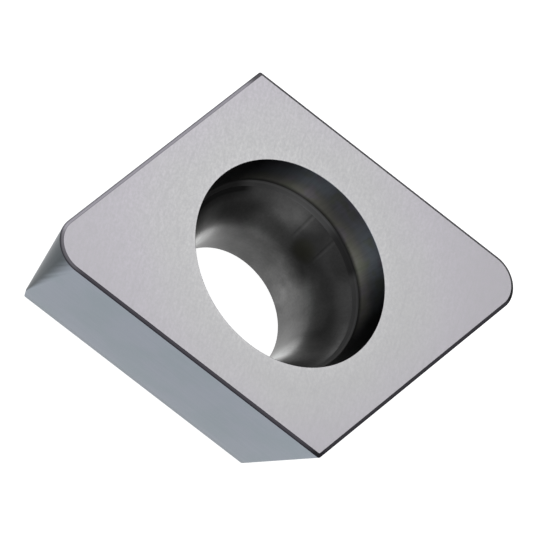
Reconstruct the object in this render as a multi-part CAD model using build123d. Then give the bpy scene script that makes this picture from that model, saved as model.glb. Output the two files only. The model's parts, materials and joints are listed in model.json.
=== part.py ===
from build123d import *
from math import cos, radians, sin, tan
import os

# Cutting insert of sintered carbide, ground all over, in one solid piece: a
# rhombic plate with a flat top, a narrow land that slopes down to the cutting
# edge all round, flanks that lean inwards below it, and a countersunk screw hole
# through the middle.
#
# Millimetres and degrees. The origin is where the hole's axis meets the bottom
# face, +Z points up out of the top face, and +X runs along the long diagonal to
# one of the two round noses.

# Plate
thickness = 3.18
inscribed_circle = 7.94    # the circle that touches all four cutting edges
nose_angle = 70.4          # between the two edges that meet at a nose
nose_radius = 0.77         # of the cutting edge round a nose
blunt_radius = 0.20        # of the cutting edge at the ends of the short diagonal
clearance_angle = 15.0     # lean of the flanks from upright, the same round the corners
arris_radius = 0.03        # what grinding leaves on the upright corners that close to a point

# Land between the flat top and the cutting edge
land_width = 0.09          # seen from above
land_angle = 24.0          # below the flat top
hone_radius = 0.02         # rounding of the cutting edge itself

# Screw hole, from the top down
mouth_diameter = 5.20
pocket_depth = 0.88        # clears the side of the screw's head
pocket_taper = 10.0        # each side
ledge_width = 0.095        # narrow cone between the pocket and the seat
ledge_height = 0.16
throat_length = 0.58       # straight bore below the seat
throat_diameter = 3.23     # clearance for an M3 screw

apothem = inscribed_circle / 2
edge_height = thickness - land_width * tan(radians(land_angle))
lean = tan(radians(clearance_angle))


def outline(height, inset):
    """The cutting edge's outline moved inwards, with every corner's radius cut by as much."""
    half = radians(nose_angle / 2)
    tip = (apothem - inset) / sin(half)
    side = (apothem - inset) / cos(half)
    rhombus = Polygon((tip, 0), (0, side), (-tip, 0), (0, -side), align=None)
    blunt_corners = rhombus.vertices().sort_by(Axis.X)[1:3]
    blunted = fillet(blunt_corners, max(blunt_radius - inset, arris_radius))
    by_length = blunted.vertices().sort_by(Axis.X)
    rounded = fillet([by_length[0], by_length[-1]], max(nose_radius - inset, arris_radius))
    return Pos(0, 0, height) * rounded


def closing_height(radius):
    """Height at which a corner's cone has narrowed to an arris, or the bottom face if it never does."""
    return max(edge_height - (radius - arris_radius) / lean, 0)


def plate():
    """Solid plate: flanks with cones at their corners, then the land up to the flat top."""
    heights = {0, closing_height(nose_radius), closing_height(blunt_radius), edge_height}
    flanks = [outline(height, (edge_height - height) * lean) for height in sorted(heights)]
    return loft(flanks + [outline(thickness, land_width)], ruled=True)


def honed(body):
    """The body with its cutting edge rounded, all the way round."""
    cutting_edge = body.edges().filter_by_position(Axis.Z, edge_height, edge_height)
    return fillet(cutting_edge, hone_radius)


def screw_hole():
    """The hole as a solid: tapered pocket, ledge, bell-shaped seat and straight throat."""
    throat_radius = throat_diameter / 2
    mouth_radius = mouth_diameter / 2
    pocket_radius = mouth_radius - pocket_depth * tan(radians(pocket_taper))
    mouth = (mouth_radius, thickness)
    pocket_foot = (pocket_radius, thickness - pocket_depth)
    seat_top = (pocket_radius - ledge_width, thickness - pocket_depth - ledge_height)
    throat_top = (throat_radius, throat_length)
    throat_foot = (throat_radius, 0)
    side = Polyline(mouth, pocket_foot, seat_top)
    seat = TangentArc(throat_top, seat_top, tangent=(0, 1))
    rest = Polyline(throat_top, throat_foot, (0, 0), (0, thickness), mouth)
    return revolve(Plane.XZ * make_face(side + seat + rest), Axis.Z)


insert = honed(plate()) - screw_hole()

os.makedirs("parts", exist_ok=True)
export_step(insert, "parts/insert.step")
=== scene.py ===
import json
from math import atan2, cos, pi, radians, sin, tan

import bmesh
import bpy
from mathutils import Matrix, Vector

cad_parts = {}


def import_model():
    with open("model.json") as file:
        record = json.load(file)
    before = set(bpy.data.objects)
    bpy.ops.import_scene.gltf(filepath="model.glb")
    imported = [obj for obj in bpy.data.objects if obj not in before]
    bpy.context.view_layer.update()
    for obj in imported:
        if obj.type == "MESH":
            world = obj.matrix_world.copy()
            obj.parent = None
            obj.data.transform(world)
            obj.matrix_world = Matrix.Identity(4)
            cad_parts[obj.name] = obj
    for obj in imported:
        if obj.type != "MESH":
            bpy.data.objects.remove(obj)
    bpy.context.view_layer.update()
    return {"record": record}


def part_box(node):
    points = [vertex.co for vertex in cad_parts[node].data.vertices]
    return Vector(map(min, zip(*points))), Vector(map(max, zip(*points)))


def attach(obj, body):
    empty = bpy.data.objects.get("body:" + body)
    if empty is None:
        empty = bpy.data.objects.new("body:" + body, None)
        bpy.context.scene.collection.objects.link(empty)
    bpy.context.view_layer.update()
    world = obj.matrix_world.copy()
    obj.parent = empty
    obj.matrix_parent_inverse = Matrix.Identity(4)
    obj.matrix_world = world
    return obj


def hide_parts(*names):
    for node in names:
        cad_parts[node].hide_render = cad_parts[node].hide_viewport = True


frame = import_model()

# Sizes of the insert, in metres and degrees. Its thickness, its hole and its place
# come from the frame. The rest repeats the source's own values, apart from the radius
# of the two blunt corners, which is the photograph's.
mm = 0.001
mounts = {mount["name"]: mount for mount in frame["record"]["mounts"]}
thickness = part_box("insert")[1][2]
throat_radius = mounts["screw_hole"]["dims"]["r_mm"] * mm
throat_length = mounts["screw_hole"]["dims"]["length_mm"] * mm

apothem = 7.94 / 2 * mm
nose_angle = 70.4
nose_radius = 0.77 * mm
blunt_radius = 0.08 * mm
arris_radius = 0.03 * mm
clearance_angle = 15.0
land_width = 0.09 * mm
land_angle = 24.0

mouth_radius = 5.20 / 2 * mm
pocket_depth = 0.88 * mm
pocket_taper = 10.0
ledge_width = 0.095 * mm
ledge_height = 0.16 * mm

# Small roundings where ground faces meet. The first is the cutting edge's, as in the source.
hone = 0.020 * mm
land_top_ease = 0.010 * mm
foot_ease = 0.030 * mm
mouth_ease = 0.012 * mm
ledge_ease = 0.020 * mm
throat_ease = 0.030 * mm

# How finely the rounded parts are divided
nose_steps = 56
blunt_steps = 20
hole_steps = 256
seat_steps = 40
ease_steps = 4

# Two points closer than this are one, and two faces that meet at less than this angle shade as one
same_point = 0.0001 * mm
smooth_angle = 12

half_nose = radians(nose_angle / 2)
lean = tan(radians(clearance_angle))
edge_height = thickness - land_width * tan(radians(land_angle))
pocket_foot = thickness - pocket_depth

# The finishes, in the order of the piece's material slots
TOP, LAND, FLANK, FOOT, POCKET, LEDGE, SEAT = range(7)


def line_order(vertex):
    """The vertices of an open line, from one end to the other."""
    order = [vertex]
    edge = vertex.link_edges[0]
    while True:
        order.append(edge.other_vert(order[-1]))
        onward = [other for other in order[-1].link_edges if other != edge]
        if not onward:
            return order
        edge = onward[0]


def section(bm, corners):
    """A line in the XZ plane through corners of (x, z, rounding radius)."""
    points = [bm.verts.new((x, 0, z)) for x, z, ease in corners]
    for pair in zip(points, points[1:]):
        bm.edges.new(pair)
    for point, before, corner, after in zip(points[1:], corners, corners[1:], corners[2:]):
        ease = corner[2]
        if ease:
            there = Vector((corner[0] - before[0], corner[1] - before[1]))
            onward = Vector((after[0] - corner[0], after[1] - corner[1]))
            back_off = ease * tan(there.angle(onward) / 2)
            bmesh.ops.bevel(bm, geom=[point], offset=back_off, offset_type="OFFSET", segments=ease_steps,
                            profile=0.5, affect="VERTICES", material=-1)
    return line_order(points[0])


def loop_through(vertex):
    """Every edge of the loop that a vertex is on."""
    found = set()
    waiting = [vertex]
    while waiting:
        for edge in waiting.pop().link_edges:
            if edge not in found:
                found.add(edge)
                waiting.extend(edge.verts)
    return list(found)


def outline_loop(bm, height, inset):
    """The cutting edge's outline at a height, moved inwards: a closed loop of edges.

    The noses narrow with the inset. The blunt corners keep their radius below the cutting edge.
    """
    ends = []
    for quarter in range(4):
        if quarter % 2 == 0:
            half = half_nose
            radius = max(nose_radius - inset, arris_radius)
            steps = nose_steps
        else:
            half = radians(90 - nose_angle / 2)
            radius = blunt_radius if height < edge_height else max(blunt_radius - inset, arris_radius)
            steps = blunt_steps
        outwards = Vector((cos(quarter * pi / 2), sin(quarter * pi / 2), 0))
        centre = outwards * (apothem - inset - radius) / sin(half) + Vector((0, 0, height))
        turn = pi - 2 * half
        first = bm.verts.new(centre + Matrix.Rotation(-turn / 2, 3, "Z") @ (outwards * radius))
        spun = bmesh.ops.spin(bm, geom=[first], cent=centre, axis=(0, 0, 1), angle=turn, steps=steps)
        ends.append((first, spun["geom_last"][0]))
    for here, there in zip(ends, ends[1:] + ends[:1]):
        bm.edges.new((here[1], there[0]))
    return loop_through(ends[0][0])


def plate_wall(bm):
    """Foot rounding, flanks, honed cutting edge and land, from the bottom face to the top face."""
    foot_inset = edge_height * lean
    closing_height = edge_height - (nose_radius - arris_radius) / lean
    corners = [(foot_inset + 4 * foot_ease, 0, 0), (foot_inset, 0, foot_ease)]
    corners += [((edge_height - closing_height) * lean, closing_height, 0), (0, edge_height, hone)]
    corners += [(land_width, thickness, land_top_ease), (land_width + 2 * land_top_ease, thickness, 0)]
    wire = bmesh.new()
    steps = [point.co.copy() for point in section(wire, corners)][1:-1]
    wire.free()
    loops = [outline_loop(bm, step.z, step.x) for step in steps]
    land_start = edge_height - hone * sin(radians(clearance_angle))
    for lower, upper, there in zip(loops, loops[1:], steps[1:]):
        for face in bmesh.ops.bridge_loops(bm, edges=lower + upper)["faces"]:
            face.material_index = LAND if there.z > land_start else FLANK


def hole_wall(bm):
    """Pocket, ledge, bell-shaped seat and throat, spun round the hole's axis."""
    pocket_radius = mouth_radius - pocket_depth * tan(radians(pocket_taper))
    seat_radius = pocket_radius - ledge_width
    seat_height = pocket_foot - ledge_height
    reach = seat_radius - throat_radius
    drop = seat_height - throat_length
    bell_radius = (drop * drop + reach * reach) / (2 * reach)
    sweep = atan2(drop, bell_radius - reach)
    corners = [(mouth_radius + 2 * mouth_ease, thickness, 0), (mouth_radius, thickness, mouth_ease)]
    corners += [(pocket_radius, pocket_foot, ledge_ease), (seat_radius, seat_height, ledge_ease)]
    for step in range(1, seat_steps):
        turn = sweep * (1 - step / seat_steps)
        out = throat_radius + bell_radius * (1 - cos(turn))
        corners.append((out, throat_length + bell_radius * sin(turn), 0))
    corners += [(throat_radius, throat_length, 0), (throat_radius, 0, throat_ease)]
    corners.append((throat_radius + 2 * throat_ease, 0, 0))
    profile = section(bm, corners)
    bmesh.ops.delete(bm, geom=[profile.pop(0), profile.pop()], context="VERTS")
    line = {edge for vertex in profile for edge in vertex.link_edges}
    plate = set(bm.faces)
    bmesh.ops.spin(bm, geom=profile + list(line), cent=(0, 0, 0), axis=(0, 0, 1), angle=2 * pi,
                   steps=hole_steps, use_merge=True)
    for face in set(bm.faces) - plate:
        height = face.calc_center_median().z
        if height > pocket_foot:
            face.material_index = POCKET
        elif height > seat_height:
            face.material_index = LEDGE
        else:
            face.material_index = SEAT


def close_face(bm, height, finish):
    """The flat ring between the plate's outline and the hole, at a height."""
    rims = [edge for edge in bm.edges if edge.is_boundary]
    level = [edge for edge in rims if all(abs(vertex.co.z - height) < same_point for vertex in edge.verts)]
    for part in bmesh.ops.triangle_fill(bm, use_beauty=True, edges=level)["geom"]:
        if isinstance(part, bmesh.types.BMFace):
            part.material_index = finish


def insert_body():
    """The whole insert as one closed mesh."""
    bm = bmesh.new()
    plate_wall(bm)
    hole_wall(bm)
    bmesh.ops.remove_doubles(bm, verts=bm.verts, dist=same_point)
    close_face(bm, thickness, TOP)
    close_face(bm, 0, FOOT)
    bmesh.ops.recalc_face_normals(bm, faces=bm.faces)
    for face in bm.faces:
        face.smooth = True
    for edge in bm.edges:
        one, other = edge.link_faces
        bend = one.normal.angle(other.normal)
        edge.smooth = one.material_index == other.material_index and bend < radians(smooth_angle)
    mesh = bpy.data.meshes.new("insert_body")
    bm.to_mesh(mesh)
    bm.free()
    piece = bpy.data.objects.new("insert_body", mesh)
    bpy.context.scene.collection.objects.link(piece)
    return piece


class Value:
    """A shader socket that takes part in plain arithmetic."""

    def __init__(self, finish, socket):
        self.finish = finish
        self.socket = socket

    def math(self, operation, *others):
        node = self.finish.node("Math", {"operation": operation}, dict(enumerate([self, *others])))
        return Value(self.finish, node.outputs[0])

    def __add__(self, other):
        return self.math("ADD", other)

    __radd__ = __add__

    def __mul__(self, other):
        return self.math("MULTIPLY", other)

    __rmul__ = __mul__

    def __sub__(self, other):
        return self.math("SUBTRACT", other)

    def __rsub__(self, other):
        return (self * -1) + other

    def __truediv__(self, other):
        return self.math("DIVIDE", other)

    def __pow__(self, other):
        return self.math("POWER", other)

    def __abs__(self):
        return self.math("ABSOLUTE")

    def between(self, low, high):
        """0 below the first value, 1 above the second and a smooth step between."""
        node = self.finish.node("MapRange", {"interpolation_type": "SMOOTHSTEP"},
                                {"Value": self, "From Min": low, "From Max": high})
        return Value(self.finish, node.outputs["Result"])

    def band(self, middle, width):
        """1 at a value, falling smoothly to 0 on both sides."""
        return 1 - abs(self - middle).between(0, width)

    def plateau(self, low, full, ebb, end):
        """A smooth step up between the first two values and down again between the last two."""
        return self.between(low, full) * (1 - self.between(ebb, end))


class Finish:
    """A material made of nodes, for one of the insert's surfaces."""

    def __init__(self, name, **constants):
        self.material = bpy.data.materials.new(name)
        self.material.use_nodes = True
        self.tree = self.material.node_tree
        self.shader = self.tree.nodes["Principled BSDF"]
        self.show(**constants)

    def node(self, kind, settings=None, inputs=None):
        """A node of a type, with its settings made first and then its inputs' values or links."""
        made = self.tree.nodes.new("ShaderNode" + kind)
        for name, value in (settings or {}).items():
            setattr(made, name, value)
        for name, value in (inputs or {}).items():
            self.feed(made.inputs[name], value)
        return made

    def feed(self, socket, value):
        """Sets a socket to a number, colour or vector, or links it."""
        if isinstance(value, Value):
            self.tree.links.new(value.socket, socket)
        elif isinstance(value, bpy.types.NodeSocket):
            self.tree.links.new(value, socket)
        elif isinstance(value, tuple) and socket.type == "RGBA":
            socket.default_value = (*value, 1)
        else:
            socket.default_value = value

    def show(self, **inputs):
        """Feeds the shader's own inputs, such as its base color or roughness."""
        for socket, value in inputs.items():
            self.feed(self.shader.inputs[socket.replace("_", " ").title()], value)
        return self.material

    def place(self, turn=0.0, stretch=(1, 1, 1)):
        """Position on the piece in millimetres, turned about the hole's axis and then stretched."""
        metres = self.node("TexCoord").outputs["Object"]
        turned = {"Vector": metres, "Rotation": (0, 0, radians(turn)), "Scale": (1 / mm, 1 / mm, 1 / mm)}
        spot = self.node("Mapping", {"vector_type": "POINT"}, turned).outputs[0]
        return self.node("VectorMath", {"operation": "MULTIPLY"}, {0: spot, 1: stretch}).outputs[0]

    def parts(self, vector):
        """The three numbers of a vector."""
        split = self.node("SeparateXYZ", {}, {0: vector})
        return [Value(self, split.outputs[i]) for i in range(3)]

    def join(self, x, y, z):
        """A vector from three numbers."""
        return self.node("CombineXYZ", {}, {0: x, 1: y, 2: z}).outputs[0]

    def noise(self, vector, scale, detail=2.0, roughness=0.5):
        """Soft noise from 0 to 1, with a scale in patches a millimetre."""
        inputs = {"Vector": vector, "Scale": scale, "Detail": detail, "Roughness": roughness}
        return Value(self, self.node("TexNoise", {}, inputs).outputs["Fac"])

    def blend(self, share, first, second):
        """The second colour laid over the first by a share."""
        node = self.node("Mix", {"data_type": "RGBA"}, {"Factor": share})
        self.feed(node.inputs[6], first)
        self.feed(node.inputs[7], second)
        return node.outputs[2]

    def relief(self, height, depth):
        """Normals for a height from 0 to 1 over a depth in millimetres."""
        inputs = {"Height": height, "Distance": depth * mm, "Strength": 1.0}
        return self.node("Bump", {}, inputs).outputs[0]


def from_axis(x, y):
    """The distance from an upright axis."""
    return (x * x + y * y) ** 0.5


def bearing(x, y):
    """The angle round an upright axis in degrees, counted from +X towards +Y."""
    return y.math("ARCTAN2", x) * (180 / pi)


def facing(x, y, reach, turn):
    """How far the hole's wall is turned to a bearing: 1 straight on it, -1 across the hole from it."""
    return (x * cos(radians(turn)) + y * sin(radians(turn))) / reach


# In the finishes below, x, y, z and every length are in millimetres and every bearing is in degrees.
# A share from 0 to 1 says how much of a colour is laid over what is there.
black = (0.0, 0.0, 0.0)


def ground_top():
    """Top face, ground flat: clean grey near the hole and lavender further out, with faint long scratches,
    grain along them and fine specks. A painted highlight at the hole's rim, and painted shade outwards,
    towards +X and towards -Y."""
    finish = Finish("ground_top", metallic=1.0)
    clean = (0.516, 0.515, 0.517)
    lavender = (0.528, 0.504, 0.551)
    grain_dark = (0.36, 0.355, 0.368)
    scratch_dark = (0.29, 0.29, 0.298)
    speck_dark = (0.36, 0.36, 0.37)
    grain_turn = -66
    scratch_turn = -60
    rim = mouth_radius / mm

    x, y = finish.parts(finish.place())[:2]
    reach = from_axis(x, y)
    cloud = finish.noise(finish.place(), 0.7, 3)
    grain = finish.noise(finish.place(turn=grain_turn, stretch=(3.0, 18.0, 1)), 1.0, 4, 0.7)
    scratch = finish.noise(finish.place(turn=scratch_turn, stretch=(0.5, 9.0, 1)), 1.0, 2)
    speck = finish.noise(finish.place(turn=scratch_turn, stretch=(1.0, 1.3, 1)), 11.0, 2, 0.7)

    ragged_reach = reach + (cloud - 0.5) * 1.6
    tinted = finish.blend(ragged_reach.between(2.9, 4.6), clean, lavender)
    # Painted light and shade: a painted highlight in a thin ring and a wider ring at the hole's rim, then
    # painted shade outwards from 3 mm and towards +X and -Y
    shade = reach.between(rim + 0.03, rim + 0.09) * 0.045 + reach.between(rim, rim + 0.55) * 0.055
    shade = shade + reach.between(3.0, 6.0) * 0.125 + x * 0.0048 - y * 0.0145 + 0.042
    shaded = finish.blend(shade, tinted, black)
    worn = finish.blend((grain - 0.30) * 1.1, shaded, grain_dark)
    scratched = finish.blend(scratch.between(0.60, 0.74) * 0.12, worn, scratch_dark)
    color = finish.blend(speck.between(0.36, 0.64) * 0.50, scratched, speck_dark)
    return finish.show(base_color=color, roughness=0.30 + grain * 0.10, normal=finish.relief(grain, 0.001))


def honed_land():
    """Land and cutting edge, finely ground: a painted highlight at the left nose and the upper left edge,
    painted shade on the two right edges, round the right nose and at the lower corner, and painted shade
    lines along the honed edge and the land's top edge."""
    finish = Finish("honed_land", metallic=1.0)
    ground = (0.132, 0.125, 0.145)
    ground_light = (0.152, 0.144, 0.167)
    highlight_grey = (0.264, 0.255, 0.282)
    line_dark = (0.024, 0.024, 0.032)
    right_nose = (6.30, 0.05)
    lower_corner = (0, -apothem / mm / cos(half_nose))
    edge = edge_height / mm
    top = thickness / mm

    x, y, z = finish.parts(finish.place())
    grain = finish.noise(finish.place(stretch=(6, 6, 1)), 4.0, 2)
    across = x * sin(half_nose)
    along = y * cos(half_nose)

    def edge_side(distance):
        """1 near one of the four straight edges, by the distance from the middle towards it."""
        return distance.between(3.3, 3.75)

    def near(spot, inside, outside):
        """1 round a place on the land and 0 away from it, by squares of the distance."""
        return 1 - ((x - spot[0]) ** 2 + (y - spot[1]) ** 2).between(inside, outside)

    # Painted highlight on the left nose and the upper left edge
    nose_highlight = (x * -1).between(5.75, 6.10)
    left = nose_highlight.math("MAXIMUM", edge_side(along - across))
    land = finish.blend(left, finish.blend(grain, ground, ground_light), highlight_grey)
    # Painted shade on the two right edges, round the right nose and at the lower corner
    land_shade = edge_side(across + along) * 0.69 + edge_side(across - along) * 0.38
    land_shade = land_shade + near(right_nose, 0.05, 0.50) * 0.96 + near(lower_corner, 0.01, 0.09) * 0.35
    land_shaded = finish.blend(land_shade.math("MINIMUM", 0.94), land, black)
    # Painted shade lines along the honed edge and along the land's top edge
    hone_shade_line = 1 - z.between(edge - 0.002, edge + 0.022)
    top_shade_line = z.between(top - 0.010, top - 0.003)
    color = finish.blend(hone_shade_line * 0.9 + top_shade_line * 0.35, land_shaded, line_dark)
    return finish.show(base_color=color, roughness=0.30)


def ground_flank():
    """Flanks ground bluish grey in level lines. Painted shade darkens each nose and ends in slanting
    fingers, and a line of painted shade runs along the foot and below the cutting edge of each nose."""
    finish = Finish("ground_flank", metallic=1.0)
    blue = (0.223, 0.256, 0.287)
    blue_light = (0.239, 0.263, 0.303)
    line_dark = (0.186, 0.214, 0.242)
    nose_shade_dark = (0.022, 0.030, 0.034)
    rim_shade_dark = (0.06, 0.07, 0.075)
    nose_centre = (apothem - nose_radius) / sin(half_nose) / mm
    finger_slope = 8.15
    finger_length = 30
    edge = edge_height / mm

    x, y, z = finish.parts(finish.place())
    around = bearing(abs(x) - nose_centre, y) * (x.math("SIGN") * -1)
    along = abs(x) * cos(half_nose) + abs(y) * -sin(half_nose)
    # Painted shade over each nose, fading across it and ending in slanting fingers
    finger = finish.noise(finish.join(z + along * finger_slope, 0.0, 0.0), 1.0, 2, 0.6)
    nose_shade = 1 - (abs(around) + (finger - 0.5) * finger_length).between(21, 56)
    streak = finish.noise(finish.join(around * 0.12, 0.0, 0.0), 1.0, 3)
    strength = 0.90 - around.between(-10, 35) * 0.16 + (streak - 0.5) * 0.10
    level = finish.noise(finish.place(stretch=(0.7, 0.7, 12)), 1.0, 3)
    cloud = finish.noise(finish.place(), 1.1, 2)

    tint = finish.blend(cloud.between(0.35, 0.65), blue, blue_light)
    lined = finish.blend((level - 0.35) * 0.25, tint, line_dark)
    nose_shaded = finish.blend(nose_shade * strength, lined, nose_shade_dark)
    # Painted shade lines along the foot and below the cutting edge of each nose
    rim = (1 - z.between(0.11, 0.22)) * 0.22
    rim = rim + z.between(edge - 0.035, edge - 0.010) * nose_shade
    color = finish.blend(rim * 0.75, nose_shaded, rim_shade_dark)
    return finish.show(base_color=color, roughness=0.32 + level * 0.06, normal=finish.relief(level, 0.0004))


def ground_foot():
    """Bottom face, ground flat with straight lines."""
    finish = Finish("ground_foot", metallic=1.0)
    clean = (0.46, 0.455, 0.475)
    clean_light = (0.52, 0.52, 0.535)
    grain_dark = (0.36, 0.36, 0.38)

    grain = finish.noise(finish.place(turn=25, stretch=(0.8, 16.0, 1)), 1.0, 4, 0.6)
    cloud = finish.noise(finish.place(), 0.7, 2)
    color = finish.blend(grain * 0.4, finish.blend(cloud, clean, clean_light), grain_dark)
    return finish.show(base_color=color, roughness=0.32 + grain * 0.10, normal=finish.relief(grain, 0.001))


def pocket_wall():
    """Pocket: nearly black with fine lines down the wall, painted highlights showing temper colours on its
    two broad sides and at set bearings, and painted shade along its foot."""
    finish = Finish("pocket_wall", metallic=0.85)
    blue = (0.41, 0.46, 0.53)
    violet = (0.46, 0.45, 0.54)
    grey = (0.335, 0.345, 0.36)
    straw = (0.39, 0.385, 0.335)
    mauve = (0.42, 0.38, 0.46)
    olive = (0.35, 0.38, 0.29)
    nearly_black = (0.004, 0.004, 0.005)
    line_black = (0.01, 0.01, 0.01)
    foot_shade_black = (0.008, 0.008, 0.008)
    broad_side = 37
    foot = pocket_foot / mm

    x, y, z = finish.parts(finish.place())
    reach = from_axis(x, y)
    around = bearing(x, y)
    fine = finish.noise(finish.join(x / reach, y / reach, z * 0.05), 34.0, 3, 0.6)
    patch = finish.noise(finish.join(x / reach * 2.2, y / reach * 2.2, z * 0.8), 1.6, 2)
    hue = finish.noise(finish.join(x / reach * 5, y / reach * 5, z * 2.2), 1.0, 2)
    depth = thickness / mm - z + (patch - 0.5) * 0.35
    side = abs(facing(x, y, reach, broad_side)) + (depth - 0.5) * 0.25

    temper = finish.blend(around.band(38, 18), blue, violet)
    temper = finish.blend(depth.between(0.22, 0.60), temper, grey)
    temper = finish.blend(depth.between(0.40, 0.75), temper, straw)
    temper = finish.blend(hue.between(0.52, 0.66) * 0.6, temper, mauve)
    temper = finish.blend((1 - hue.between(0.34, 0.48)) * 0.6, temper, olive)
    # Painted highlights on the two broad sides and at set bearings; elsewhere the wall stays nearly black
    lit = side.between(0.34, 0.97) * 0.44 + around.band(15, 22) * 0.33
    lit = lit + around.band(-20, 24) * depth.between(0.35, 0.70) * 0.17 + around.band(61, 19) * 0.17
    wall = finish.blend(lit * (0.80 + patch * 0.4), nearly_black, temper)
    lined = finish.blend((fine - 0.35) * 0.5, wall, line_black)
    # Painted shade along the pocket's foot, in the crease where it meets the ledge
    foot_shade = 1 - z.between(foot + 0.005, foot + 0.13)
    color = finish.blend(foot_shade * 0.82, lined, foot_shade_black)
    return finish.show(base_color=color, roughness=0.30, normal=finish.relief(fine, 0.002))


def ledge_wall():
    """Narrow cone below the pocket: painted shade at its top edge under the pocket's foot, a painted
    highlight line, then plain grey, with a painted highlight at one bearing and painted shade on two
    stretches."""
    finish = Finish("ledge_wall", metallic=0.55)
    grey = (0.145, 0.145, 0.145)
    grey_highlight = (0.24, 0.24, 0.24)
    crease_shade_dark = (0.02, 0.02, 0.02)
    foot = pocket_foot / mm

    x, y, z = finish.parts(finish.place())
    around = bearing(x, y)
    # A painted highlight line below the pocket's foot, and a painted highlight round a bearing of 70
    # degrees
    line = z.band(foot - 0.045, 0.030)
    lit = finish.blend(line * 0.5 + around.band(70, 18) * 0.45, grey, grey_highlight)
    # Painted shade on two stretches round the ledge
    shade = around.plateau(2, 9, 27, 40) * 0.70 + around.plateau(90, 104, 140, 165) * 0.72
    shaded = finish.blend(shade, lit, black)
    # Painted shade at the ledge's top edge, under the pocket's foot
    color = finish.blend(z.between(foot - 0.010, foot + 0.002), shaded, crease_shade_dark)
    return finish.show(base_color=color, roughness=0.30)


def seat_wall():
    """Bell-shaped seat and throat: dark as sintered and cloudy, with painted highlights in patches, a
    painted dark reflection in a spot and in a strip between two painted lines, painted shade under the
    ledge and painted highlights at the ends on either side of the throat."""
    finish = Finish("seat_wall", metallic=0.80)
    neutral = (1.0, 1.0, 0.992)
    greenish = (0.95, 1.0, 0.985)
    reflection_dark = (0.065, 0.065, 0.04)
    lit_side = 34
    upright_line = 48.1
    slanting_line = 26.1
    slanting_height = 1.741
    slanting_slope = 7.6

    x, y, z = finish.parts(finish.place())
    reach = from_axis(x, y)
    around = bearing(x, y)
    cloud = finish.noise(finish.join(x / reach * 1.5, y / reach * 1.5, z * 0.7), 1.4, 3)
    grit = finish.noise(finish.place(), 16.0, 2, 0.7)

    def patch(turn, height, wide, tall):
        """1 in the middle of a patch at a bearing and height, 0 at its rim."""
        return 1 - (((around - turn) / wide) ** 2 + ((z - height) / tall) ** 2).between(0, 1)

    def reflection_line(from_line):
        """A painted dark line with a painted bright line beside it, by the bearing from it."""
        return from_line.band(0, 1.1) - from_line.band(-1.9, 1.3)

    # Painted highlights in four patches
    highlight_patches = patch(-8, 1.46, 34, 0.38) * 0.80 + patch(64, 1.47, 28, 0.50) * 0.85
    highlight_patches = highlight_patches + patch(15, 0.30, 12, 0.40) * 0.45 + patch(48, 2.05, 13, 0.28) * 0.45
    # Painted highlights at the two ends of the throat, either side of the lit side's bearing, weaker high
    # up and at two bearings
    towards_light = facing(x, y, reach, lit_side)
    ends = (1 - towards_light.between(-0.25, 0.42)) * towards_light.between(-0.75, -0.35)
    ends = ends * (1 - z.between(1.6, 2.05) * 0.85)
    ends = ends * (1 - around.band(-82, 27) * 0.92 - around.band(138, 20) * 0.28) * 5.0
    # Painted shade in patches and on stretches under the ledge
    seat_shade = patch(15, 2.12, 15, 0.30) * 0.35 + patch(76, 0.65, 46, 0.95) * 0.42
    seat_shade = seat_shade + patch(23, 1.10, 18, 0.32) * 0.38
    seat_shade = seat_shade + around.plateau(84, 98, 140, 165) * z.between(1.86, 2.04) * 0.60
    seat_shade = seat_shade + around.plateau(82, 100, 140, 165) * z.between(2.02, 2.09) * 0.40
    # A painted dark reflection in one spot, and two painted lines that bound a painted dark reflection
    # strip
    spot = patch(34, 1.57, 12, 0.31)
    slanting = slanting_line + (z - slanting_height) * slanting_slope
    lines = reflection_line(around - upright_line) + reflection_line(around - slanting)

    level = (0.100 + cloud.between(0.30, 0.68) * 0.055) * (1 + highlight_patches + ends)
    level = level * (1 - seat_shade.math("MINIMUM", 0.90)) * (1 - spot * 0.35)
    # Random grit, and painted shade growing upwards from 1.1 mm
    level = level * (1 + (grit - 0.5) * 0.5) * (1 - z.between(1.1, 1.85) * 0.30)
    # A painted dark reflection in a strip round the lit side's bearing, and along the two painted lines
    level = level * (1 - around.band(lit_side, 26) * z.between(1.5, 1.9) * 0.33)
    level = level * (1 - lines * z.between(1.50, 1.75) * 0.28)
    # The painted highlights at the ends turn greenish low down
    tone = finish.blend(ends.between(1.0, 4.0) * (1 - z.between(0.7, 1.3)), neutral, greenish)
    color = finish.blend(spot * 0.55, finish.blend(level, black, tone), reflection_dark)
    return finish.show(base_color=color, roughness=0.34)


insert = insert_body()
for finish in (ground_top, honed_land, ground_flank, ground_foot, pocket_wall, ledge_wall, seat_wall):
    insert.data.materials.append(finish())
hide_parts("insert")
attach(insert, "root")


# Camera: a long lens from above the lower left flank, rolled so that the plate stands on a corner
view_azimuth = -57.99
view_elevation = 50.32
view_roll = 55.70
view_distance = 255.76 * mm
lens_length = 738.35
aim = Vector((-0.6675 * mm, -0.1583 * mm, thickness))

# Lamps stand this far off. The floor lies just below the piece, and shows white through its own glow.
lamp_distance = 0.30
floor_radius = 2
floor_gap = 0.02 * mm
floor_glow = 0.93
floor_grey = (0.5, 0.5, 0.5)
surroundings = (0.42, 0.42, 0.425, 1)


def towards(azimuth, elevation):
    """The direction of an azimuth, counted from -Y towards +X, and an elevation."""
    a = radians(azimuth)
    e = radians(elevation)
    return Vector((sin(a) * cos(e), -cos(a) * cos(e), sin(e)))


def camera():
    """The photograph's view."""
    data = bpy.data.cameras.new("camera")
    data.sensor_width = 36
    data.lens = lens_length
    data.clip_start = 0.01
    data.clip_end = 10
    made = bpy.data.objects.new("camera", data)
    back = towards(view_azimuth, view_elevation)
    made.location = aim + back * view_distance
    turn = (-back).to_track_quat("-Z", "Y").to_matrix() @ Matrix.Rotation(radians(view_roll), 3, "Z")
    made.rotation_euler = turn.to_euler()
    bpy.context.scene.collection.objects.link(made)
    bpy.context.scene.camera = made


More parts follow.
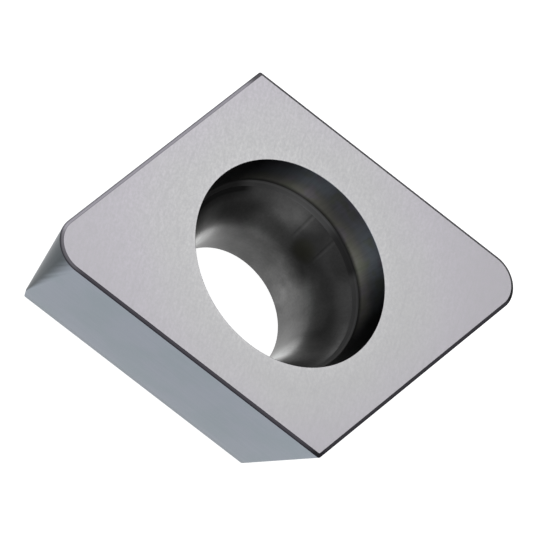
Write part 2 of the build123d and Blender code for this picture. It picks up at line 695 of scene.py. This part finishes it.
def softbox(name, azimuth, elevation, spread, brightness):
    """A round soft lamp aimed at the insert: its direction, its half angle and its brightness."""
    radius = lamp_distance * tan(radians(spread))
    light = bpy.data.lights.new(name, "AREA")
    light.shape = "DISK"
    light.size = 2 * radius
    light.energy = brightness * pi * pi * radius * radius
    made = bpy.data.objects.new(name, light)
    out = towards(azimuth, elevation)
    made.location = Vector((0, 0, thickness)) + out * lamp_distance
    made.rotation_euler = out.to_track_quat("Z", "Y").to_euler()
    made.visible_camera = False
    bpy.context.scene.collection.objects.link(made)


def floor():
    """White floor: it shows white, keeps the insert's shadow, and can be looked through from below."""
    bm = bmesh.new()
    bmesh.ops.create_circle(bm, cap_ends=True, segments=64, radius=floor_radius)
    bmesh.ops.translate(bm, verts=bm.verts, vec=(0, 0, -floor_gap))
    mesh = bpy.data.meshes.new("floor")
    bm.to_mesh(mesh)
    bm.free()
    made = bpy.data.objects.new("floor", mesh)
    bpy.context.scene.collection.objects.link(made)
    finish = Finish("floor")
    path = finish.node("LightPath")
    camera_ray, glossy_ray, transmission_ray = [
        Value(finish, path.outputs["Is " + kind + " Ray"]) for kind in ("Camera", "Glossy", "Transmission")]
    seen = camera_ray.math("MAXIMUM", glossy_ray.math("MAXIMUM", transmission_ray))
    glow = finish.node("Emission", {}, {"Color": (1, 1, 1), "Strength": seen * floor_glow})
    matte = finish.node("BsdfDiffuse", {}, {"Color": floor_grey})
    lit = finish.node("AddShader", {}, {0: glow.outputs[0], 1: matte.outputs[0]})
    below = finish.node("NewGeometry").outputs["Backfacing"]
    clear = finish.node("BsdfTransparent")
    both = finish.node("MixShader", {}, {0: below, 1: lit.outputs[0], 2: clear.outputs[0]})
    finish.feed(finish.tree.nodes["Material Output"].inputs[0], both.outputs[0])
    mesh.materials.append(finish.material)


def world():
    """Even grey surroundings."""
    made = bpy.data.worlds.new("world")
    made.use_nodes = True
    made.node_tree.nodes["Background"].inputs[0].default_value = surroundings
    bpy.context.scene.world = made


camera()
floor()
softbox("key", azimuth=140, elevation=60, spread=26, brightness=1.15)
softbox("back", azimuth=180, elevation=31, spread=15, brightness=1.20)
softbox("front", azimuth=-16, elevation=29, spread=16, brightness=0.93)
world()
bpy.context.scene.view_settings.view_transform = "Standard"
